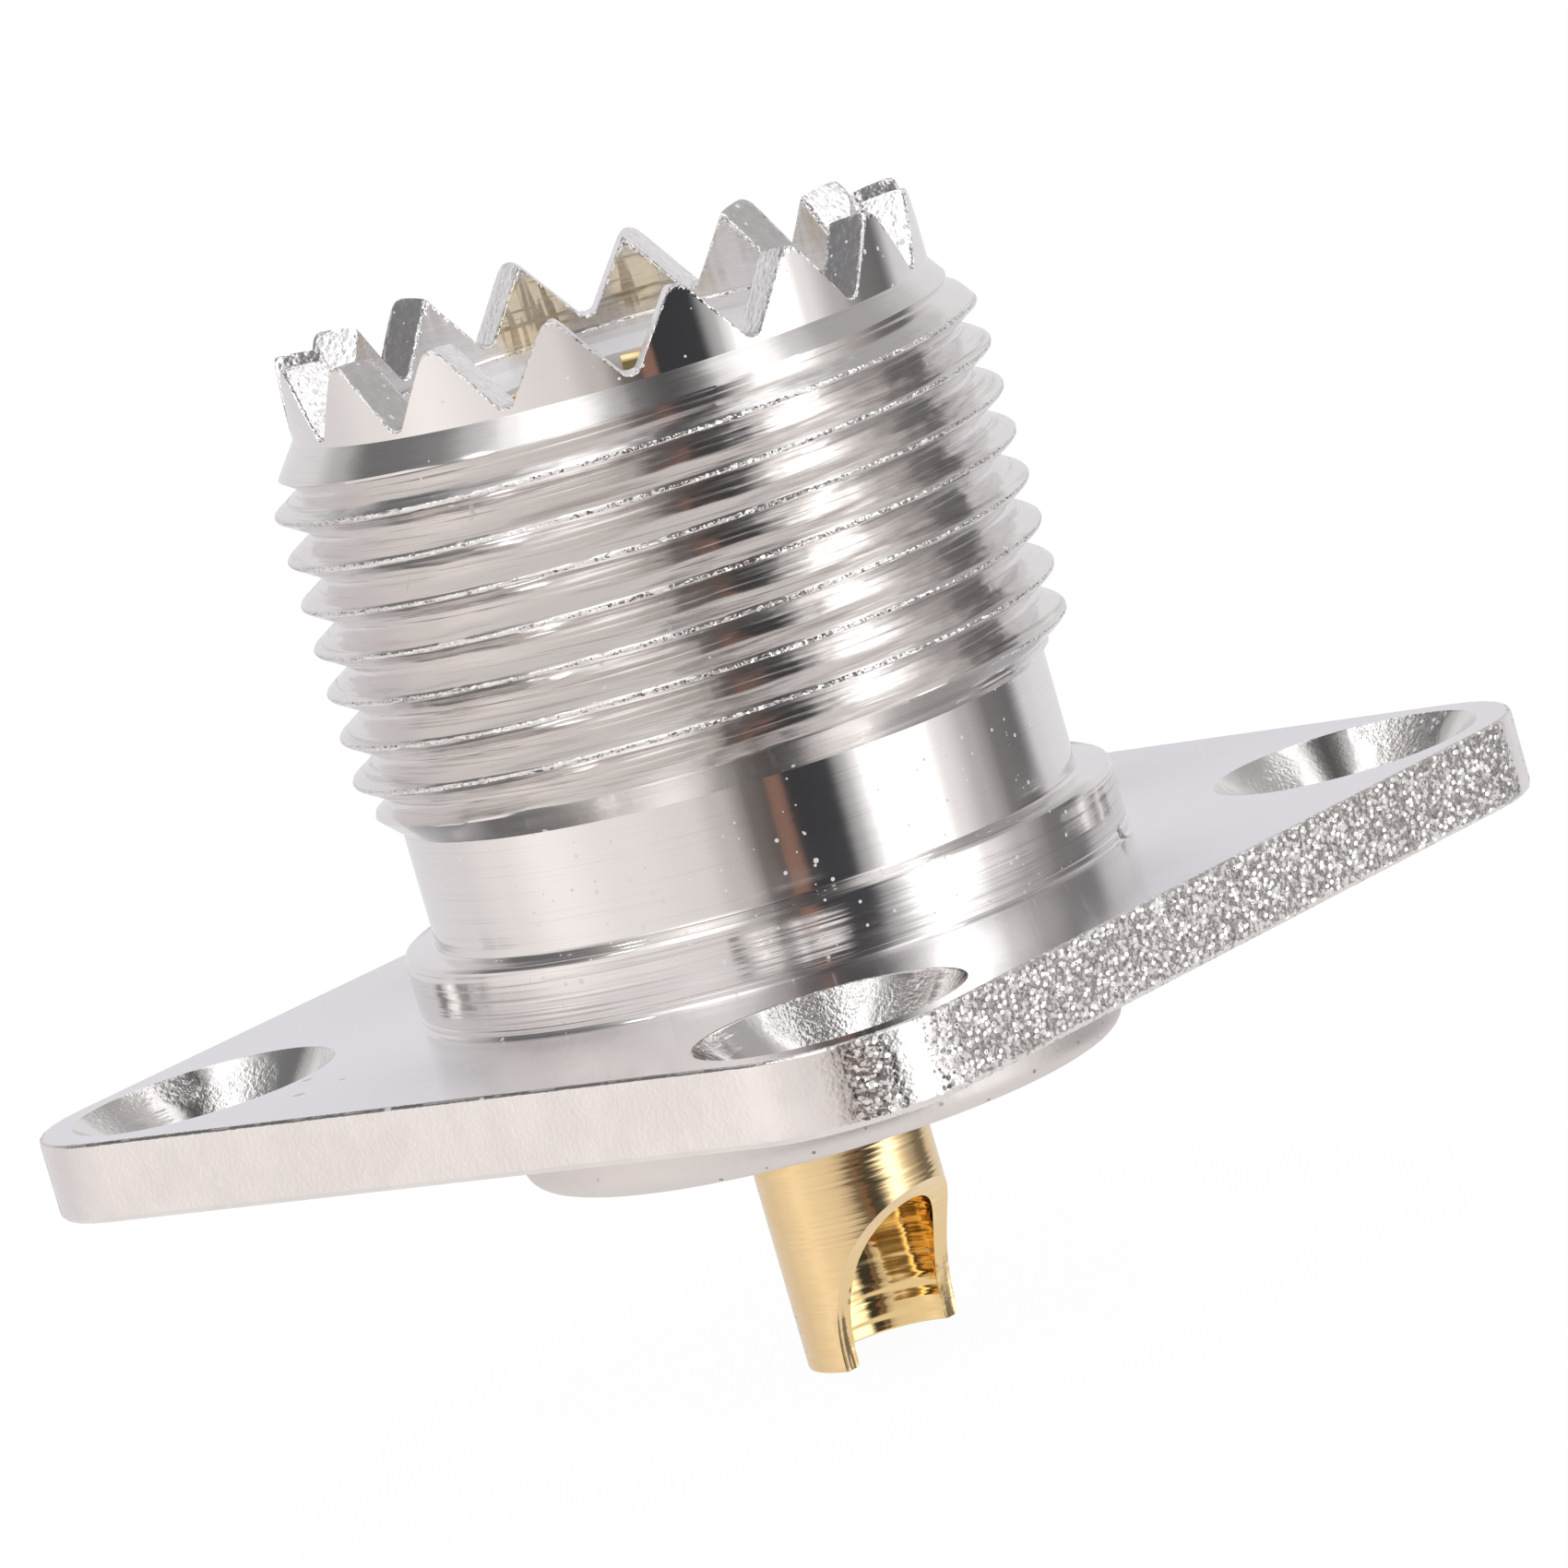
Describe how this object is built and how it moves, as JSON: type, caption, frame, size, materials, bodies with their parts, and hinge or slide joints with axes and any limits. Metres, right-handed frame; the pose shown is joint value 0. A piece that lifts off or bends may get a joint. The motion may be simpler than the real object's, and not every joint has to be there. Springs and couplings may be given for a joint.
{
  "type": "uhf panel jack",
  "caption": "Square-flanged panel jack for a screw-on UHF plug, with a threaded, crowned barrel, a slotted socket contact and an open solder cup behind.",
  "frame": {"origin": "centre of the flange's rear face, on the barrel axis", "axes": "+Z along the barrel axis towards the mating end; X and Y along the sides of the square flange; the solder cup's window faces +X"},
  "size_m": [0.0254, 0.0254, 0.0244],
  "materials": {
    "shell": "bright nickel plate, machined, with cast flange sides",
    "front_insulator": "fluoropolymer, turned",
    "rear_insulator": "fluoropolymer, turned",
    "centre_contact": "gold plate over turned brass"
  },
  "bodies": {
    "root": {"shell": "shell", "front_insulator": "front_insulator", "rear_insulator": "rear_insulator", "centre_contact": "centre_contact"}
  },
  "joints": []
}
